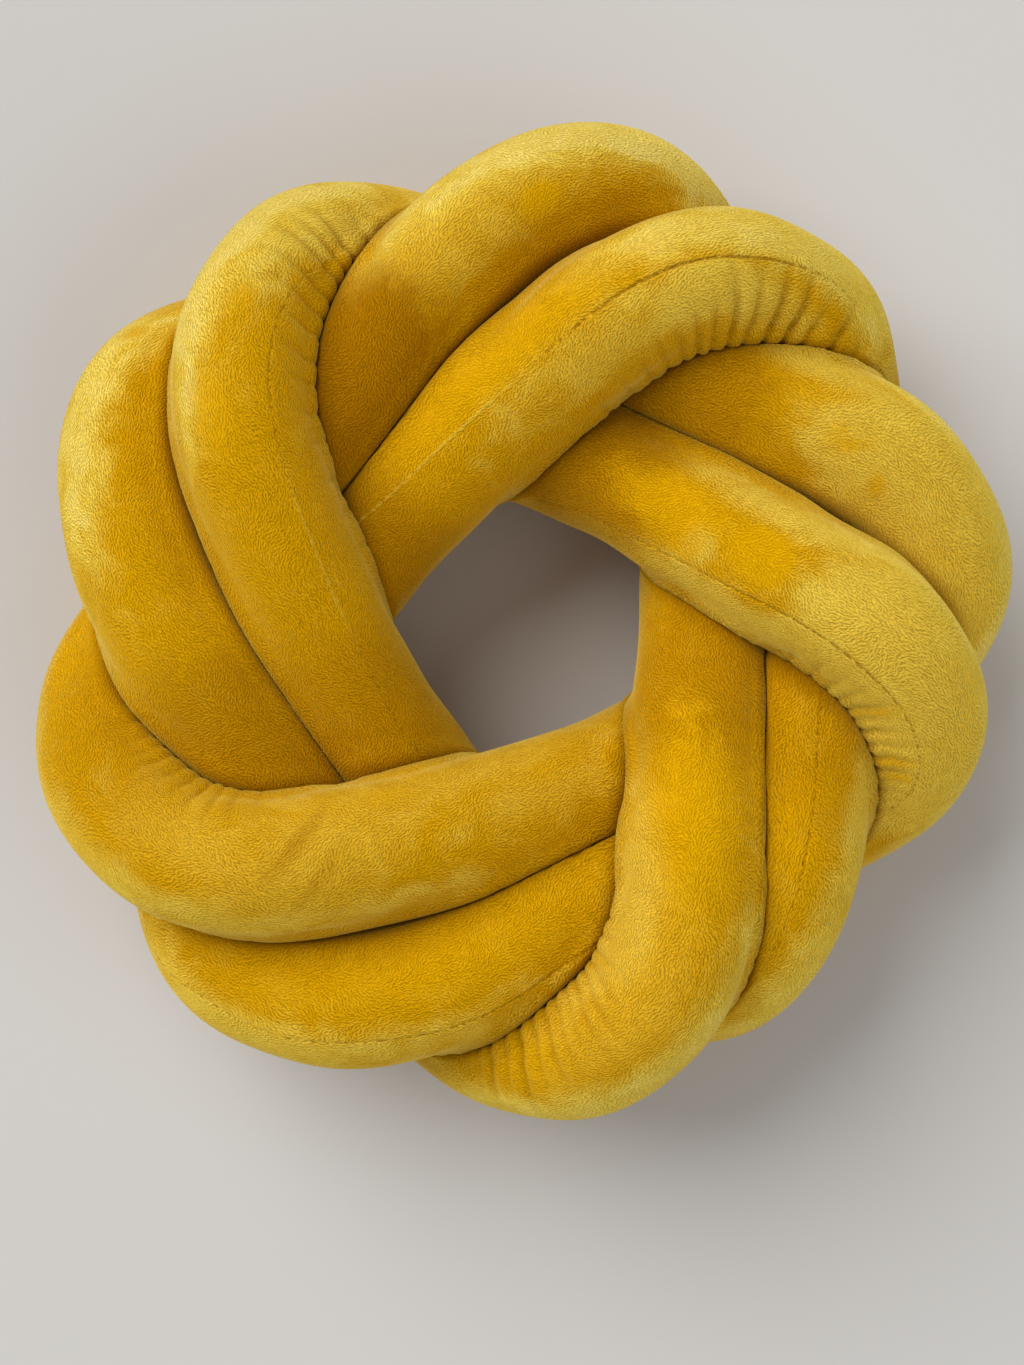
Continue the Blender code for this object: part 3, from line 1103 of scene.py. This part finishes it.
@dataclass(frozen=True)
class MustardVelvet:
    """Short golden pile in small wavy tufts, paler where brushed back, with a painted sheen along its
    edges.

    Lengths are in metres. An ease is the pair of values at which something begins to show and shows fully.
    """

    plain: Colour = (0.64, 0.325, 0.0012, 1)
    # pale is the colour of the pale patches, part brushed pile and part painted sheen, and of the seam's
    # painted highlight.
    pale: Colour = (0.80, 0.575, 0.07, 1)
    # rim is the colour of the painted sheen along the edges and at the palest of the pale patches.
    rim: Colour = (0.82, 0.64, 0.21, 1)
    golden: Colour = (0.72, 0.375, 0.0012, 1)
    # deep is painted shade for the dark patches where passes dive inwards; shaded is painted shade for
    # folds, gaps between turns and the seam's dark line.
    deep: Colour = (0.38, 0.16, 0.0006, 1)
    shaded: Colour = (0.26, 0.105, 0.0004, 1)
    roughness: float = 0.95
    gloss: float = 0.0
    sheen: float = 0.75
    sheen_roughness: float = 0.4
    sheen_tint: Colour = (1.0, 0.78, 0.11, 1)

    # The tufts, the finer grain between them, and the clumps and clouds that they gather in.
    tuft_pitch: float = 0.00115
    tuft_cycles: float = 1.25
    tuft_evenness: float = 0.65
    tuft_ease: Pair = (0.36, 0.6)
    heading: Noise = Noise((0.022, 0.030), 2.0)
    heading_range: float = 6.0
    swirl: Noise = Noise((0.0026, 0.0026), 1.0)
    sway: float = 0.0010
    fuzz: Noise = Noise((0.0007, 0.0009), 2.0)
    fuzz_share: float = 0.4
    grain: Noise = Noise((0.0005, 0.0006), 2.0)
    clumps: Noise = Noise((0.0026, 0.0034), 1.0)
    clouds: Noise = Noise((0.012, 0.014), 4.0, 0.6)

    # How much each of them changes the tone, and the height of the pile.
    tuft_middle: float = 0.58
    tuft_contrast: float = 0.52
    golden_calm: float = 0.4
    grain_contrast: float = 0.45
    clump_contrast: float = 0.3
    cloud_contrast: float = 0.14
    bump: float = 0.55
    pile_height: float = 0.0008
    tuft_relief: float = 0.7
    grain_relief: float = 0.3

    # The patches' ragged borders, the painted sheen on edges, and painted shade in folds and between turns.
    patch_ease: Pair = (-0.7, 0.7)
    ragged_by_clouds: float = 1.9
    ragged_by_tufts: float = 0.3
    least_pale: float = 0.7
    pale_by_clouds: float = 0.6
    mottle_ease: Pair = (0.46, 0.75)
    mottle: float = 0.08
    # At the palest of the pale patches, part brushed pile and part painted sheen, the colour turns towards
    # rim.
    brushed_and_sheen_peak_ease: Pair = (0.7, 1.15)
    brushed_and_sheen_peak: float = 0.45
    # Painted sheen: the colour turns towards rim where the surface turns away from view, but not beside
    # other turns.
    painted_sheen_ease: Pair = (0.55, 1.0)
    painted_sheen_by_clouds: float = 0.2
    painted_sheen: float = 0.45
    # Painted shade: how much the colour turns to the shaded colour between turns.
    turn_shade: float = 0.65
    # Painted shade: how much the colour turns to the shaded colour in the folds.
    fold_shade: float = 0.38

    # The sewn seam: half its width, in which its line's ease is counted, and its stitches. The last two
    # pairs are for its dark line, dark stitches with painted shade in its groove, and its pale line, a
    # painted highlight on its ridge.
    girth: float = 0.1709
    seam_half: float = 0.0005
    seam_ease: Pair = (0.5, 1.9)
    seam_wobble: Noise = Noise((0.0012, 0.0016), 1.0)
    stitches: Noise = Noise((0.01, 0.0026), 1.5)
    stitch_contrast: float = 4.2
    pale_contrast: float = 0.4
    dark_ease: Pair = (0.25, 0.85)
    pale_ease: Pair = (0.0, 0.6)
    seam_shade_and_highlight_share: Pair = (0.6, 0.5)
    stitch_relief: Pair = (-0.6, 0.3)

    def material(self) -> bpy.types.Material:
        """Makes the material.

        Returns:
            The velvet.
        """
        velvet = bpy.data.materials.new("mustard_velvet")
        velvet.use_nodes = True
        board = Board(velvet.node_tree)
        shader = velvet.node_tree.nodes["Principled BSDF"]
        tufts = self._tufts(board)
        grain = board.noise(self.grain)
        seam_dark_and_shade, seam_highlight = self._seam_shade_and_highlight(board)
        colour = self._colour(board, tufts, grain)
        # The seam's dark line: dark stitches and painted shade in its groove.
        colour = board.blend(seam_dark_and_shade * self.seam_shade_and_highlight_share[0], colour, self.shaded)
        # The seam's pale line: a painted highlight on its ridge.
        colour = board.blend(seam_highlight * self.seam_shade_and_highlight_share[1], colour, self.pale)
        velvet.node_tree.links.new(colour.socket, shader.inputs["Base Color"])
        relief = tufts * self.tuft_relief + grain * self.grain_relief
        relief = relief + seam_dark_and_shade * self.stitch_relief[0] + seam_highlight * self.stitch_relief[1]
        sockets = {"Strength": self.bump, "Distance": self.pile_height, "Height": relief}
        bump = board.node("ShaderNodeBump", {}, sockets)
        velvet.node_tree.links.new(bump.socket, shader.inputs["Normal"])
        shader.inputs["Roughness"].default_value = self.roughness
        shader.inputs["Specular IOR Level"].default_value = self.gloss
        shader.inputs["Sheen Weight"].default_value = self.sheen
        shader.inputs["Sheen Roughness"].default_value = self.sheen_roughness
        shader.inputs["Sheen Tint"].default_value = self.sheen_tint
        return velvet

    def _tufts(self, board: Board) -> Signal:
        """Short uneven ridges of pile, which run another way from place to place.

        Args:
            board: The material's board.

        Returns:
            1 on a ridge and 0 in the slots between.
        """
        sockets = {
            "Vector": board.swirled(self.swirl, self.sway),
            "Scale": 1 / (self.tuft_pitch * self.tuft_cycles),
            "Frequency": self.tuft_cycles,
            "Anisotropy": self.tuft_evenness,
            "Orientation": board.noise(self.heading) * self.heading_range,
        }
        ridges = board.node("ShaderNodeTexGabor", {"gabor_type": "2D"}, sockets, output="Value")
        fuzz = board.noise(self.fuzz)
        return board.eased(ridges * (1 - self.fuzz_share) + fuzz * self.fuzz_share, self.tuft_ease)

    def _seam_shade_and_highlight(self, board: Board) -> tuple[Signal, Signal]:
        """The sewn seam's broken line, with painted shade in its groove and a painted highlight on its
        ridge.

        Args:
            board: The material's board.

        Returns:
            How dark and how pale each place is for it, from 0 to 1.
        """
        round_cloth = board.node("ShaderNodeSeparateXYZ", {}, {0: board.place}, output="X")
        beside = board.maths("MINIMUM", round_cloth, self.girth - round_cloth)
        beside = beside + (board.noise(self.seam_wobble) - 0.5) * (self.seam_half * 2)
        inner, outer = self.seam_ease
        line = 1 - board.eased(beside, (self.seam_half * inner, self.seam_half * outer))
        tone = board.attribute("seam_tone")
        dashes = (board.noise(self.stitches) - 0.5) * self.stitch_contrast
        dark = board.eased(tone + dashes, self.dark_ease)
        pale = board.eased(0 - tone - dashes * self.pale_contrast, self.pale_ease)
        return line * dark, line * pale

    def _colour(self, board: Board, tufts: Signal, grain: Signal) -> Signal:
        """The pile's colour, with painted sheen and painted shade in it.

        Args:
            board: The material's board.
            tufts: The tufts of the pile.
            grain: Its fine grain.

        Returns:
            The colour.
        """
        clouds = board.noise(self.clouds)
        clumps = board.noise(self.clumps)
        turn_shade_mask = board.attribute("turn_shade_mask")
        ragged = (clouds - 0.5) * self.ragged_by_clouds + (tufts - 0.5) * self.ragged_by_tufts
        pale = self._patch(board, "pale", ragged) * (self.least_pale + clouds * self.pale_by_clouds)
        golden = self._patch(board, "golden", ragged)
        deep = self._patch(board, "deep", ragged)
        # Painted sheen along the edges, which turn away from view; it is left out beside other turns.
        facing = board.node("ShaderNodeLayerWeight", {}, {"Blend": 0.5}, output="Facing")
        painted_sheen = board.eased(facing + (clouds - 0.5) * self.painted_sheen_by_clouds, self.painted_sheen_ease) * (1 - turn_shade_mask)
        mottle = board.eased(clouds, self.mottle_ease) * self.mottle
        # The pale patches are brushed pile in part and painted sheen in part; at their palest they turn
        # towards rim.
        colour = board.blend(pale + mottle, self.plain, self.pale)
        colour = board.blend(board.eased(pale, self.brushed_and_sheen_peak_ease) * self.brushed_and_sheen_peak, colour, self.rim)
        # Painted shade: the deep patches, mostly where passes dive inwards.
        colour = board.blend(deep, colour, self.deep)
        colour = board.blend(golden, colour, self.golden)
        # Painted sheen on the edges.
        colour = board.blend(painted_sheen * self.painted_sheen, colour, self.rim)
        tone = 1 + (tufts - self.tuft_middle) * (self.tuft_contrast * (1 - self.golden_calm * golden))
        tone = tone + (grain - 0.5) * self.grain_contrast + (clumps - 0.5) * self.clump_contrast
        tone = tone + (clouds - 0.5) * self.cloud_contrast
        colour = board.vector("SCALE", {0: colour, "Scale": tone})
        # Painted shade between the turns.
        colour = board.blend(turn_shade_mask * self.turn_shade, colour, self.shaded)
        # Painted shade in the folds.
        return board.blend(board.attribute("fold_shade_mask") * self.fold_shade, colour, self.shaded)

    def _patch(self, board: Board, name: str, ragged: Signal) -> Signal:
        """How much of a kind of patch shows, from 0 to 1, with its border made ragged."""
        shown = board.eased(board.attribute(name) + ragged, self.patch_ease)
        return shown * board.attribute(f"{name}_strength")


class Lamp(NamedTuple):
    """A wide soft light: where it comes from, its width in degrees, its strength and its colour."""

    name: str
    comes_from: tuple[float, float, float]
    width: float
    strength: float
    colour: tuple[float, float, float]


# The light of a window past the top left of the frame, and a weak one that fills the shadows.
LAMPS = (
    #     name       comes from            width  strength  colour
    Lamp("window", (-0.73, 0.68, 0.73), 55, 2.85, (1.0, 0.975, 0.94)),
    Lamp("fill", (0.76, -0.64, 0.50), 70, 1.05, (1.0, 0.98, 0.95)),
)


@dataclass
class Studio:
    """The plain floor, the soft light and the camera."""

    floor_half: float = 3.0
    floor_colour: Colour = (0.66, 0.65, 0.635, 1)
    floor_roughness: float = 0.95
    floor_gloss: float = 0.1
    eye: tuple[float, float, float] = (-0.00498, -0.02504, 0.9635)
    focal_pixels: float = 2195.0
    photo_height: float = 1365.0
    sensor: float = 36.0
    sky_colour: Colour = (0.95, 0.97, 1.0, 1)
    sky_strength: float = 0.28

    def lay_floor(self) -> None:
        """Lays the pale floor at the height that the cushion rests on."""
        shape = bmesh.new()
        bmesh.ops.create_grid(shape, x_segments=1, y_segments=1, size=self.floor_half)
        floor = piece_of(shape, "floor")
        surface = bpy.data.materials.new("pale_floor")
        surface.use_nodes = True
        shader = surface.node_tree.nodes["Principled BSDF"]
        shader.inputs["Base Color"].default_value = self.floor_colour
        shader.inputs["Roughness"].default_value = self.floor_roughness
        shader.inputs["Specular IOR Level"].default_value = self.floor_gloss
        floor.data.materials.append(surface)

    def light(self) -> None:
        """Sets the soft lights under a pale sky."""
        scene = bpy.context.scene
        sky = bpy.data.worlds.new("soft_sky")
        sky.use_nodes = True
        background = sky.node_tree.nodes["Background"]
        background.inputs["Color"].default_value = self.sky_colour
        background.inputs["Strength"].default_value = self.sky_strength
        scene.world = sky
        for lamp in LAMPS:
            light = bpy.data.lights.new(lamp.name, "SUN")
            light.angle = math.radians(lamp.width)
            light.energy = lamp.strength
            light.color = lamp.colour
            holder = bpy.data.objects.new(lamp.name, light)
            holder.location = lamp.comes_from
            holder.rotation_euler = (-holder.location).to_track_quat("-Z", "Y").to_euler()
            scene.collection.objects.link(holder)
        scene.view_settings.view_transform = "Standard"

    def set_camera(self) -> None:
        """Looks straight down on the cushion's face."""
        lens = bpy.data.cameras.new("camera")
        lens.sensor_width = self.sensor
        lens.lens = self.focal_pixels * self.sensor / self.photo_height
        camera = bpy.data.objects.new("camera", lens)
        camera.location = self.eye
        bpy.context.scene.collection.objects.link(camera)
        bpy.context.scene.camera = camera


def main() -> None:
    """Builds and dresses the cushion, and sets the studio round it."""
    logging.basicConfig(level=logging.INFO, format="%(message)s")
    studio = Studio()
    studio.set_camera()
    studio.lay_floor()
    studio.light()
    tube = KnotTube(Centreline()).build()
    tube.data.materials.append(MustardVelvet().material())
    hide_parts("knot_tube")
    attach(tube, "root")
    logger.info("%s: %d faces", tube.name, len(tube.data.polygons))


if __name__ == "__main__":
    main()
